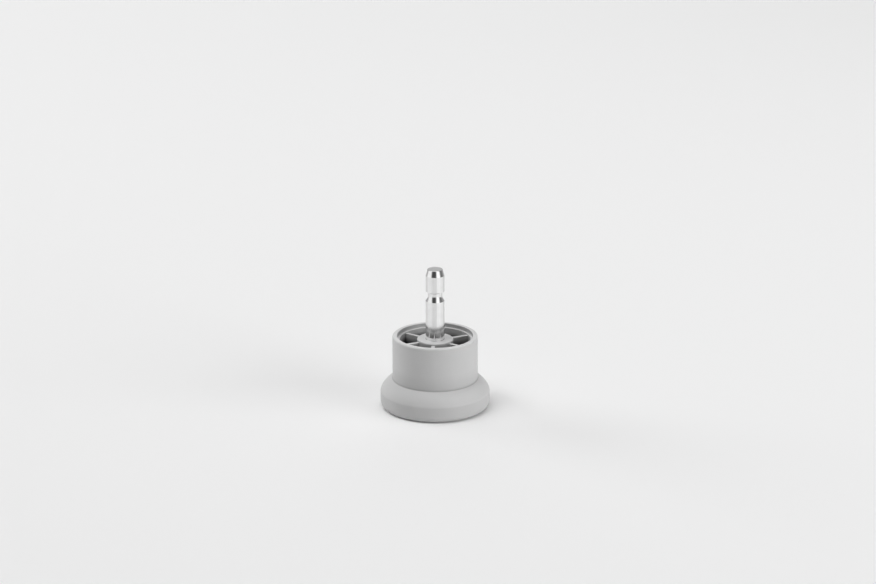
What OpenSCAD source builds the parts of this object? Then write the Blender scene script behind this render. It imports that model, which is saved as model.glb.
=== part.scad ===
// Plug-in furniture foot: a moulded cup on a broad crowned foot, with a turned grip stem pressed into
// the cup's central boss. The sole lies on z = 0, and the stem points up along +Z.

/* [Foot] */
// Diameter of the foot
foot_d = 64.2; // [60:0.1:72]
// Height from the sole to the crease where the crown meets the cup
foot_h = 17.2; // [15:0.1:19]
// Height of the foot's upright side, from the sole to the shoulder
side_h = 9; // [8:0.1:11]
// Radius of the crown, seen in section
crown_r = 14; // [12:0.5:20]
// Radius of the shoulder between the crown and the upright side
shoulder_r = 3.5; // [1:0.5:5]
// Radius of the edge around the sole
sole_edge_r = 3.5; // [0.5:0.5:5]

/* [Cup] */
// Outside diameter of the cup
cup_d = 50; // [46:0.5:54]
// Height of the rim above the sole
cup_h = 43.2; // [38:0.1:60]
// Thickness of the wall around the pockets
wall = 4.3; // [3.5:0.1:5]
// Thickness of the thinner wall above the ledge
rim_wall = 2.95; // [2.2:0.05:3.2]
// Depth of the ledge below the rim
ledge_depth = 2.4; // [1.5:0.1:4]
// Thickness of the floor under the pockets
floor_t = 5; // [3:0.5:8]
// Radius of the rim's outer edge
rim_outer_r = 1.2; // [0.4:0.1:1.5]
// Radius of the rim's inner edge
rim_inner_r = 0.4; // [0.2:0.1:0.6]

/* [Boss and ribs] */
// Diameter of the central boss
boss_d = 21.2; // [18:0.2:24]
// Depth of the boss's top below the rim
boss_drop = 2; // [1:0.1:5]
// Radius of the boss's top edge
boss_edge_r = 0.7; // [0.3:0.1:1.5]
// Number of ribs
rib_count = 6; // [4:1:8]
// Thickness of a rib
rib_t = 2; // [1.5:0.1:3]
// Depth of the ribs' tops below the rim
rib_drop = 3.1; // [2:0.1:6]

/* [Stem] */
// Diameter of the stem
stem_d = 11; // [10:0.5:12]
// Height of the stem above the boss
stem_h = 42.4; // [36:0.2:50]
// Height of the tapered nose
nose_h = 3.8; // [2:0.1:6]
// Half-angle of the nose's taper, in degrees
nose_angle = 15; // [10:1:25]
// Radius of the nose's end edge
nose_edge_r = 0.6; // [0.2:0.1:1]
// Height of the land between the nose and the groove
upper_land_h = 9.5; // [6:0.1:12]
// Height of the retaining groove, with its sloping lower flank
groove_h = 5.8; // [5.2:0.1:8]
// Diameter of the neck in the groove
neck_d = 8.4; // [7.6:0.1:8.8]
// Height of the groove's sloping lower flank
flank_h = 2; // [1.8:0.1:3]
// Radius of the hollow where the neck runs into the lower flank
flank_fillet_r = 6; // [1:0.5:6]
// Radius of the fillet under the groove's upper shoulder
neck_fillet_r = 1.1; // [0.2:0.1:1.1]
// Diameter of the shank that is pressed into the boss, up to its top
shank_d = 11.4; // [11.2:0.1:13]
// Depth of the shank's lower end below the boss's top
shank_depth = 28; // [20:0.5:34]
// Chamfer at the shank's lower end
shank_chamfer = 0.8; // [0.4:0.1:1.5]

/* [Hidden] */
$fn = 96;

// Radii and heights of the moulding
foot_r = foot_d / 2;
cup_r = cup_d / 2;
pocket_r = cup_r - wall;
rim_bore_r = cup_r - rim_wall;
boss_r = boss_d / 2;
ledge_z = cup_h - ledge_depth;
boss_z = cup_h - boss_drop;
rib_z = cup_h - rib_drop;

// Radii and heights of the stem
stem_r = stem_d / 2;
neck_r = neck_d / 2;
shank_r = shank_d / 2;
stem_z = boss_z + stem_h;
nose_z = stem_z - nose_h;
groove_top_z = nose_z - upper_land_h;
groove_low_z = groove_top_z - groove_h;
shank_z = boss_z - shank_depth;

// The crown's circle runs through the crease, and the shoulder's circle touches it from within
shoulder_c = [foot_r - shoulder_r, side_h];
crease = [cup_r, foot_h];
crease_run = crease - shoulder_c;
crease_gap = norm(crease_run);
crease_dir = crease_run / crease_gap;
crown_reach = crown_r - shoulder_r;
crown_along = (crown_reach ^ 2 - crown_r ^ 2 + crease_gap ^ 2) / (2 * crease_gap);
crown_across = sqrt(crown_reach ^ 2 - crown_along ^ 2);
crown_c = shoulder_c + crown_along * crease_dir + crown_across * [-crease_dir.y, crease_dir.x];
shoulder_angle = direction(shoulder_c - crown_c);
crease_angle = direction(crease - crown_c);

// Every cut runs this far past the face that it opens
overrun = 1;
// How far a wedge reaches past the arc that it cuts from a circle
wedge_share = 2;

// Direction of a vector in the plane, in degrees
function direction(v) = atan2(v.y, v.x);

// Point at radius r and angle a from the centre
function polar(r, a) = r * [cos(a), sin(a)];

// Sector of a disc about a centre, between two angles less than half a turn apart
module sector(centre, r, from, to) {
    reach = r * wedge_share;
    translate(centre) intersection() {
        circle(r);
        polygon([[0, 0], polar(reach, from), polar(reach, (from + to) / 2), polar(reach, to)]);
    }
}

// Half section of the moulding's outside
module outer_section() {
    sole_edge_c = [foot_r - sole_edge_r, sole_edge_r];
    rim_edge_c = [cup_r - rim_outer_r, cup_h - rim_outer_r];
    polygon([
        [0, 0],
        [sole_edge_c.x, 0],
        [foot_r, sole_edge_c.y],
        [foot_r, side_h],
        shoulder_c + polar(shoulder_r, shoulder_angle),
        crease,
        [cup_r, rim_edge_c.y],
        [rim_edge_c.x, cup_h],
        [0, cup_h],
    ]);
    sector(sole_edge_c, sole_edge_r, -90, 0);
    sector(shoulder_c, shoulder_r, 0, shoulder_angle);
    sector(crown_c, crown_r, shoulder_angle, crease_angle);
    sector(rim_edge_c, rim_outer_r, 0, 90);
}

// Half section of the cup's open top: above the boss, above the ledge and above the ribs
module open_section() {
    rim_edge_c = [rim_bore_r + rim_inner_r, cup_h - rim_inner_r];
    boss_edge_c = [boss_r - boss_edge_r, boss_z - boss_edge_r];
    translate([0, boss_z]) square([rim_bore_r, cup_h]);
    translate([boss_r, ledge_z]) square([rim_bore_r - boss_r, cup_h]);
    translate([boss_r, rib_z]) square([pocket_r - boss_r, cup_h]);
    difference() {
        translate(boss_edge_c) square(boss_edge_r);
        translate(boss_edge_c) circle(boss_edge_r);
    }
    difference() {
        translate([0, rim_edge_c.y]) square([rim_edge_c.x, rim_inner_r + overrun]);
        translate(rim_edge_c) circle(rim_inner_r);
    }
}

// Plan of all the pockets: the ring around the boss, less the ribs
module pocket_plan() {
    difference() {
        circle(pocket_r);
        circle(boss_r);
        for (i = [0 : rib_count - 1]) rotate(i * 360 / rib_count)
            translate([0, -rib_t / 2]) square([pocket_r + overrun, rib_t]);
    }
}

// Half section of the stem: pressed shank, lower land, groove with its flank, upper land and nose
module stem_section() {
    nose_taper = tan(nose_angle);
    nose_edge_z = stem_z - nose_edge_r;
    nose_edge_c = [stem_r - (nose_edge_z - nose_z) * nose_taper - nose_edge_r / cos(nose_angle), nose_edge_z];
    neck_edge_c = [neck_r + neck_fillet_r, groove_top_z - neck_fillet_r];
    flank_top = [neck_r, groove_low_z + flank_h];
    flank_angle = atan((stem_r - neck_r) / flank_h);
    flank_run = flank_fillet_r * tan(flank_angle / 2);
    flank_edge_c = flank_top + [flank_fillet_r, flank_run];
    flank_end = flank_top + polar(flank_run, flank_angle - 90);
    polygon([
        [0, shank_z],
        [shank_r - shank_chamfer, shank_z],
        [shank_r, shank_z + shank_chamfer],
        [shank_r, boss_z],
        [stem_r, boss_z],
        [stem_r, groove_low_z],
        flank_top,
        [neck_r, groove_top_z],
        [stem_r, groove_top_z],
        [stem_r, nose_z],
        nose_edge_c + polar(nose_edge_r, nose_angle),
        [nose_edge_c.x, stem_z],
        [0, stem_z],
    ]);
    sector(nose_edge_c, nose_edge_r, nose_angle, 90);
    difference() {
        translate([neck_r, neck_edge_c.y]) square(neck_fillet_r);
        translate(neck_edge_c) circle(neck_fillet_r);
    }
    difference() {
        polygon([[0, flank_end.y], flank_end, flank_edge_c, [neck_r, flank_edge_c.y], [0, flank_edge_c.y]]);
        translate(flank_edge_c) circle(flank_fillet_r);
    }
}

module glide_body() {
    color("silver") difference() {
        rotate_extrude() difference() {
            outer_section();
            open_section();
        }
        translate([0, 0, floor_t]) linear_extrude(rib_z - floor_t + overrun) pocket_plan();
        translate([0, 0, shank_z]) cylinder(r = shank_r, h = shank_depth + overrun);
    }
}

module stem() {
    color("gainsboro") rotate_extrude() stem_section();
}

glide_body();
stem();
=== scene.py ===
"""Looks of a plug-in furniture foot: a moulded grey plastic cup on a broad foot, and a turned, plated stem.

Lengths are in metres, in the part's own frame: the sole lies on z = 0, and the stem points up along +Z.
"""

import math

import bpy
from mathutils import Matrix, Vector


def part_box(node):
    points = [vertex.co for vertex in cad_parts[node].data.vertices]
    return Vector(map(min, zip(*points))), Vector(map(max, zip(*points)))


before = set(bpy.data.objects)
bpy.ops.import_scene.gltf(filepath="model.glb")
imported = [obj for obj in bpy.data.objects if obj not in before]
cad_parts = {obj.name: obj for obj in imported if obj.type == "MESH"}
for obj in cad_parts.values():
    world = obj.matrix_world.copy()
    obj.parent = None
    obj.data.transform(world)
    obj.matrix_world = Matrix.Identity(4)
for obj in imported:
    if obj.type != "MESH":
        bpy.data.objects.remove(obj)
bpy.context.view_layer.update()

# Camera, measured in plan from the part's axis
CAMERA_TURN = -24.3  # degrees that the camera stands off -Y, so that one rib shows just left of the front
CAMERA_DISTANCE = 1.2254
CAMERA_SIDEWAYS = 0.0017
CAMERA_HEIGHT = 0.4719
CAMERA_PITCH = 18.176  # degrees below the horizon
CAMERA_LENS = 91.38  # millimetres, on the sensor width below
SENSOR_WIDTH = 36.0

# Floor, and the world's light and backdrop
FLOOR_RADIUS = 8.0
FLOOR_SEGMENTS = 96
FLOOR_TONE = 0.895  # at the part
FLOOR_RISE = 0.1  # how much paler the floor is at the reach below, where less light falls
FLOOR_RISE_TURN = 117.0  # degrees from the camera's side, towards the back right
FLOOR_RISE_REACH = 1.0
BACKDROP_TONE = 0.85
AMBIENT = 0.02

# Soft panels: degrees from the camera's side with the right positive, degrees up, size in metres, radiance
LAMPS = {
    "key_panel": dict(azimuth=64, elevation=13, width=2.4, height=1.2, radiance=6.3),
    "left_panel": dict(azimuth=-120, elevation=14, width=1.6, height=1.3, radiance=5.0),
    "high_left_panel": dict(azimuth=-70, elevation=62, width=2.0, height=1.8, radiance=3.1),
    "high_right_panel": dict(azimuth=75, elevation=62, width=1.8, height=1.8, radiance=0.3),
    "top_panel": dict(azimuth=180, elevation=86, width=2.4, height=2.4, radiance=1.95),
    "back_panel": dict(azimuth=180, elevation=20, width=2.6, height=1.6, radiance=1.25),
}
LAMP_DISTANCE = 3.0
AIM_HEIGHT = 0.04  # the point of the axis that the lamps face

# Ring of cards that only mirror reflections see: degrees from edge to edge, tones upright and on the floor
CARDS = {
    "bright_left": dict(start=-108, stop=-45, upright=0.95, floor=0.84),
    "dark_front": dict(start=-45, stop=18, upright=0.07, floor=0.75),
    "bright_right": dict(start=18, stop=66, upright=1.2, floor=0.95),
    "dark_right": dict(start=66, stop=108, upright=0.18, floor=0.88),
    "grey_right": dict(start=108, stop=150, upright=0.35, floor=0.7),
    "grey_back": dict(start=150, stop=210, upright=0.5, floor=0.8),
    "grey_left": dict(start=210, stop=252, upright=0.4, floor=0.72),
}
CARD_INNER = 0.1  # from the axis to the cards' inner edge on the floor
CARD_OUTER = 0.7  # from the axis to where they stand up
CARD_HIGH = 1.2
CARD_LIFT = 0.0005  # height of the cards' lower part above the floor
CARD_BLEND = 18.0  # degrees over which two neighbours run into each other
CARD_TONE = "tone"  # attribute of the cards' points

# Parts of the moulding by distance from the axis: where each one starts to count, and where it counts in full
CUP_INSIDE = (0.0218, 0.0212)
CUP_OUTSIDE = (0.0245, 0.0248)
# painted shade: the band of the cup's inner wall just under the rim, between these radii
BORE_SHADE_FROM = (0.0218, 0.022)
BORE_SHADE_TO = (0.0223, 0.0221)

# Parts of the moulding by height, in the same way
RIM_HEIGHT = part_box("glide_body")[1][2]
# painted shade on that band of inner wall, from these heights up
BORE_SHADE_LEVEL = (RIM_HEIGHT - 0.0023, RIM_HEIGHT - 0.0019)
# painted highlight on the boss's top, from these heights up
LIT_BOSS_LEVEL = (RIM_HEIGHT - 0.0037, RIM_HEIGHT - 0.0032)
# painted shade: below these heights the pockets go dark
POCKET_SHADE_LEVEL = (RIM_HEIGHT - 0.0047, RIM_HEIGHT - 0.0082)
# painted shade, growing down the cup's outer wall towards the crease
LOWER_WALL_SHADE = (0.0265, 0.0172)
# painted shade in a thin band just above the crease
CREASE_SHADE_WALL = (0.0182, 0.0173)
ABOVE_CREASE = (0.0169, 0.0171)
# painted shade on the foot's upright side, below the shoulder
FOOT_SIDE_SHADE = (0.0098, 0.0092)
CUP_FLOOR = (0.003, 0.0045)
SOLE_WEAR = (0.0024, 0.0005)

# Top faces, by the upward share of the normal, which get painted light
LIT_TOP_FACING = (0.5, 1.0)

# Noise: the span that is used of its values, and features a metre, on all axes or along each one
NOISE_SPAN = (0.3, 0.7)
SCUFF_SPAN = (0.5, 0.66)
PLASTIC_CLOUDS = 70
PLASTIC_SPECKS = 1500
PLASTIC_SCUFFS = 420
PLASTIC_WAVES = 90
PLASTIC_GRAIN = 2800
STEEL_CLOUDS = 240
RING_STRETCH = (180, 180, 7200)
MARK_STRETCH = (900, 900, 25)

# Tones and roughness over a noise's span
PLASTIC_TONES = (0.543, 0.555)
PLASTIC_SPECK_TONES = (-0.006, 0.006)
PLASTIC_ROUGHNESS = (0.5, 0.56)
PLASTIC_SPECK_ROUGHNESS = (-0.03, 0.03)
STEEL_TONES = (0.84, 0.88)
STEEL_RING_TONES = (-0.02, 0.02)
STEEL_MARK_TONES = (-0.02, 0.02)
STEEL_ROUGHNESS = (0.11, 0.14)
STEEL_RING_ROUGHNESS = (-0.02, 0.02)

# Bumps: height in metres, and strength
WAVE_HEIGHT = 0.0001
WAVE_STRENGTH = 0.12
GRAIN_HEIGHT = 0.00003
GRAIN_STRENGTHS = (0.35, 0.1)  # outside the cup and in it
RING_HEIGHT = 0.000004
RING_STRENGTH = 0.25

UNIT_SPAN = (0, 1)
IN_PLAN = (1, 1, 0)  # takes the height out of a vector
WHITE = (1, 1, 1, 1)


def around(azimuth, elevation, distance, height=0.0):
    """Point round the axis, by degrees from the camera's side with its right positive, and degrees up."""
    a = math.radians(azimuth + CAMERA_TURN)
    e = math.radians(elevation)
    out = Vector((math.sin(a) * math.cos(e), -math.cos(a) * math.cos(e), math.sin(e)))
    return out * distance + Vector((0, 0, height))


class Nodes:
    """Short calls for the nodes of one tree."""

    def __init__(self, tree):
        self.tree = tree
        tree.nodes.clear()

    def add(self, kind, **settings):
        """A node of that kind: its properties by name, and its inputs by a dict of values or sockets."""
        inputs = settings.pop("inputs", {})
        node = self.tree.nodes.new("ShaderNode" + kind)
        for name, value in settings.items():
            setattr(node, name, value)
        for name, value in inputs.items():
            if isinstance(value, bpy.types.NodeSocket):
                self.tree.links.new(value, node.inputs[name])
            else:
                node.inputs[name].default_value = value
        return node

    def noise(self, place, scale=1.0, detail=2.0, roughness=0.5):
        """Grey noise between 0 and 1 at that place, with that many features a metre."""
        inputs = {"Vector": place, "Scale": scale, "Detail": detail, "Roughness": roughness}
        return self.add("TexNoise", inputs=inputs).outputs["Fac"]

    def stretched(self, place, scale):
        """The place, stretched along each axis by that much."""
        return self.add("Mapping", inputs={"Vector": place, "Scale": scale}).outputs["Vector"]

    def ranged(self, value, span, to):
        """The value carried from one span to another, and held at its ends."""
        inputs = {"Value": value, "From Min": span[0], "From Max": span[1], "To Min": to[0], "To Max": to[1]}
        return self.add("MapRange", inputs=inputs).outputs["Result"]

    def mask(self, value, span):
        """A mask that goes from 0 to 1 over that span."""
        return self.ranged(value, span, UNIT_SPAN)

    def math(self, operation, a, b):
        node = self.add("Math", operation=operation, inputs={0: a, 1: b})
        return node.outputs["Value"]

    def overlap(self, first, *others):
        """Where all the masks hold."""
        for other in others:
            first = self.math("MULTIPLY", first, other)
        return first

    def changed(self, value, changes):
        """The value with a change added where each mask holds."""
        for mask, change in changes:
            value = self.math("ADD", value, self.math("MULTIPLY", mask, change))
        return value

    def grey(self, value):
        """A grey colour of that value."""
        node = self.add("CombineColor", inputs={"Red": value, "Green": value, "Blue": value})
        return node.outputs["Color"]

    def bump(self, height, distance, strength, normal=None):
        inputs = {"Height": height, "Distance": distance, "Strength": strength}
        if normal is not None:
            inputs["Normal"] = normal
        return self.add("Bump", inputs=inputs).outputs["Normal"]

    def surface(self, shader):
        self.add("OutputMaterial", inputs={"Surface": shader})


def new_material(name):
    material = bpy.data.materials.new(name)
    material.use_nodes = True
    return material, Nodes(material.node_tree)


def moulded_plastic():
    """Light grey plastic with a fine matte grain, scuffed at the sole; painted light on the top faces and the
    boss, painted shade in the pockets, on the band under the rim, low on the cup, in the crease and on the
    foot's side.
    """
    material, n = new_material("moulded_plastic")
    place = n.add("TexCoord").outputs["Object"]
    height = n.add("SeparateXYZ", inputs={0: place}).outputs["Z"]
    level = n.add("VectorMath", operation="MULTIPLY", inputs={0: place, 1: IN_PLAN}).outputs["Vector"]
    radius = n.add("VectorMath", operation="LENGTH", inputs={0: level}).outputs["Value"]
    facing = n.add("SeparateXYZ", inputs={0: n.add("NewGeometry").outputs["Normal"]}).outputs["Z"]

    in_cup = n.overlap(n.mask(radius, CUP_INSIDE), n.mask(height, CUP_FLOOR))
    # painted shade deep in the pockets
    pocket_shade = n.overlap(in_cup, n.mask(height, POCKET_SHADE_LEVEL))
    # painted shade on the band of inner wall under the rim
    bore_shade = n.overlap(n.mask(radius, BORE_SHADE_FROM), n.mask(radius, BORE_SHADE_TO), n.mask(height, BORE_SHADE_LEVEL))
    on_cup = n.overlap(n.mask(radius, CUP_OUTSIDE), n.mask(height, ABOVE_CREASE))
    # painted shade low on the cup's outer wall
    lower_cup_shade = n.overlap(on_cup, n.mask(height, LOWER_WALL_SHADE))
    # painted shade in the crease between cup and foot
    crease_shade = n.overlap(on_cup, n.mask(height, CREASE_SHADE_WALL))
    # painted shade on the foot's upright side
    foot_side_shade = n.mask(height, FOOT_SIDE_SHADE)
    # painted light on faces that look up
    top_light = n.mask(facing, LIT_TOP_FACING)
    # painted highlight on the boss's top
    boss_top_light = n.overlap(top_light, n.mask(height, LIT_BOSS_LEVEL))
    near_sole = n.mask(height, SOLE_WEAR)

    clouds = n.noise(place, PLASTIC_CLOUDS, detail=3)
    specks = n.noise(place, PLASTIC_SPECKS)
    scuff_noise = n.noise(place, PLASTIC_SCUFFS, detail=4, roughness=0.7)
    scuffs = n.overlap(near_sole, n.mask(scuff_noise, SCUFF_SPAN))

    cloud_tone = n.ranged(clouds, NOISE_SPAN, PLASTIC_TONES)
    tone = n.math("ADD", cloud_tone, n.ranged(specks, NOISE_SPAN, PLASTIC_SPECK_TONES))
    # the scuffs are wear; every other change here is painted light or painted shade
    tone_changes = (
        (scuffs, 0.03),
        (pocket_shade, -0.44),
        (bore_shade, -0.15),
        (lower_cup_shade, -0.07),
        (crease_shade, -0.08),
        (foot_side_shade, -0.035),
        (top_light, 0.045),
        (boss_top_light, 0.06),
    )
    cloud_rough = n.ranged(clouds, NOISE_SPAN, PLASTIC_ROUGHNESS)
    rough = n.math("ADD", cloud_rough, n.ranged(specks, NOISE_SPAN, PLASTIC_SPECK_ROUGHNESS))
    rough_changes = (
        (scuffs, 0.15),
        (in_cup, -0.1),
    )

    waves = n.noise(place, PLASTIC_WAVES, detail=1)
    grain = n.noise(place, PLASTIC_GRAIN, detail=3, roughness=0.6)
    grain_strength = n.ranged(in_cup, UNIT_SPAN, GRAIN_STRENGTHS)
    normal = n.bump(waves, WAVE_HEIGHT, WAVE_STRENGTH)
    normal = n.bump(grain, GRAIN_HEIGHT, grain_strength, normal)

    shader = n.add(
        "BsdfPrincipled",
        inputs={
            "Base Color": n.grey(n.changed(tone, tone_changes)),
            "Roughness": n.changed(rough, rough_changes),
            "Normal": normal,
            "IOR": 1.5,
        },
    )
    n.surface(shader.outputs["BSDF"])
    return material


def plated_steel():
    """Bright plated steel with the fine rings that turning leaves, which draw out its reflections."""
    material, n = new_material("plated_steel")
    place = n.add("TexCoord").outputs["Object"]
    rings = n.noise(n.stretched(place, RING_STRETCH), detail=3, roughness=0.6)
    marks = n.noise(n.stretched(place, MARK_STRETCH))
    clouds = n.noise(place, STEEL_CLOUDS, detail=3)

    cloud_tone = n.ranged(clouds, NOISE_SPAN, STEEL_TONES)
    tone = n.math("ADD", cloud_tone, n.ranged(rings, NOISE_SPAN, STEEL_RING_TONES))
    tone = n.math("ADD", tone, n.ranged(marks, NOISE_SPAN, STEEL_MARK_TONES))
    cloud_rough = n.ranged(clouds, NOISE_SPAN, STEEL_ROUGHNESS)
    rough = n.math("ADD", cloud_rough, n.ranged(rings, NOISE_SPAN, STEEL_RING_ROUGHNESS))
    around_axis = n.add("Tangent", direction_type="RADIAL", axis="Z").outputs["Tangent"]

    shader = n.add(
        "BsdfPrincipled",
        inputs={
            "Base Color": n.grey(tone),
            "Roughness": rough,
            "Normal": n.bump(rings, RING_HEIGHT, RING_STRENGTH),
            "Metallic": 1.0,
            "Anisotropic": 0.5,
            "Anisotropic Rotation": 0.25,
            "Tangent": around_axis,
        },
    )
    n.surface(shader.outputs["BSDF"])
    return material


def floor_paper():
    """Plain matt paper, a little paler towards the back right, so that it looks even under the panels."""
    material, n = new_material("floor_paper")
    place = n.add("TexCoord").outputs["Object"]
    towards = around(FLOOR_RISE_TURN, 0, 1)
    away = n.add("VectorMath", operation="DOT_PRODUCT", inputs={0: place, 1: towards}).outputs["Value"]
    span = (-FLOOR_RISE_REACH, FLOOR_RISE_REACH)
    tone = n.ranged(away, span, (FLOOR_TONE - FLOOR_RISE, FLOOR_TONE + FLOOR_RISE))
    shader = n.add(
        "BsdfPrincipled",
        inputs={"Base Color": n.grey(tone), "Roughness": 0.9, "Specular IOR Level": 0.0},
    )
    n.surface(shader.outputs["BSDF"])
    return material


def glowing_surface(name):
    """Surface that shows the tones of its points, whatever light falls on it."""
    material, n = new_material(name)
    tone = n.add("Attribute", attribute_name=CARD_TONE).outputs["Fac"]
    shader = n.add("Emission", inputs={"Color": WHITE, "Strength": tone})
    n.surface(shader.outputs["Emission"])
    return material


def stage_mesh(name, points, faces, material):
    """Mesh that belongs to the studio and not to the part."""
    mesh = bpy.data.meshes.new(name)
    mesh.from_pydata(points, [], faces)
    mesh.materials.append(material)
    obj = bpy.data.objects.new(name, mesh)
    bpy.context.scene.collection.objects.link(obj)
    return obj


def add_floor():
    turns = [2 * math.pi * i / FLOOR_SEGMENTS for i in range(FLOOR_SEGMENTS)]
    rim = [(FLOOR_RADIUS * math.cos(t), FLOOR_RADIUS * math.sin(t), 0) for t in turns]
    stage_mesh("floor", rim, [range(FLOOR_SEGMENTS)], floor_paper())


def add_cards():
    """Ring of cards that lie on the floor and then stand up, with each tone running into the next."""
    columns = []
    for card in CARDS.values():
        columns.append((card["start"] + CARD_BLEND / 2, card))
        columns.append((card["stop"] - CARD_BLEND / 2, card))
    inner = [around(turn, 0, CARD_INNER, CARD_LIFT) for turn, card in columns]
    outer = [around(turn, 0, CARD_OUTER, CARD_LIFT) for turn, card in columns]
    upper = [around(turn, 0, CARD_OUTER, CARD_HIGH) for turn, card in columns]
    row = len(columns)
    faces = [(i, (i + 1) % row, row + (i + 1) % row, row + i) for i in range(row)]
    for part, points in (("floor", inner + outer), ("upright", outer + upper)):
        name = f"cards_{part}"
        ring = stage_mesh(name, points, faces, glowing_surface(name))
        tones = [card[part] for turn, card in columns]
        ring.data.attributes.new(CARD_TONE, "FLOAT", "POINT").data.foreach_set("value", tones + tones)
        ring.visible_camera = False
        ring.visible_diffuse = False
        ring.visible_transmission = False
        ring.visible_shadow = False


def add_lamp(name, azimuth, elevation, width, height, radiance):
    """Soft rectangular panel that faces the part, and that mirror reflections don't see."""
    lamp = bpy.data.lights.new(name, "AREA")
    lamp.shape = "RECTANGLE"
    lamp.size = width
    lamp.size_y = height
    lamp.energy = radiance * math.pi * width * height
    obj = bpy.data.objects.new(name, lamp)
    place = around(azimuth, elevation, LAMP_DISTANCE, AIM_HEIGHT)
    aim = Vector((0, 0, AIM_HEIGHT)) - place
    obj.matrix_world = Matrix.Translation(place) @ aim.to_track_quat("-Z", "Y").to_matrix().to_4x4()
    obj.visible_glossy = False
    bpy.context.scene.collection.objects.link(obj)


def add_world():
    """Faint even light, with a pale backdrop where the camera and reflections look past the floor."""
    world = bpy.data.worlds.new("studio")
    world.use_nodes = True
    bpy.context.scene.world = world
    n = Nodes(world.node_tree)
    path = n.add("LightPath")
    seen = n.math("MAXIMUM", path.outputs["Is Camera Ray"], path.outputs["Is Glossy Ray"])
    seen = n.math("MAXIMUM", seen, path.outputs["Is Transmission Ray"])
    strength = n.ranged(seen, UNIT_SPAN, (AMBIENT, BACKDROP_TONE))
    light = n.add("Background", inputs={"Color": WHITE, "Strength": strength})
    n.add("OutputWorld", inputs={"Surface": light.outputs["Background"]})


def add_camera():
    data = bpy.data.cameras.new("camera")
    data.sensor_width = SENSOR_WIDTH
    data.lens = CAMERA_LENS
    camera = bpy.data.objects.new("camera", data)
    turn = Matrix.Rotation(math.radians(CAMERA_TURN), 4, "Z")
    place = Matrix.Translation((CAMERA_SIDEWAYS, -CAMERA_DISTANCE, CAMERA_HEIGHT))
    tilt = Matrix.Rotation(math.radians(90 - CAMERA_PITCH), 4, "X")
    camera.matrix_world = turn @ place @ tilt
    bpy.context.scene.collection.objects.link(camera)
    bpy.context.scene.camera = camera


def dress(node, material):
    """Gives a CAD node that one material."""
    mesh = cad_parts[node].data
    mesh.materials.clear()
    mesh.materials.append(material)


dress("glide_body", moulded_plastic())
dress("stem", plated_steel())
add_floor()
add_world()
for name, values in LAMPS.items():
    add_lamp(name, **values)
add_cards()
add_camera()
bpy.context.scene.view_settings.view_transform = "Standard"
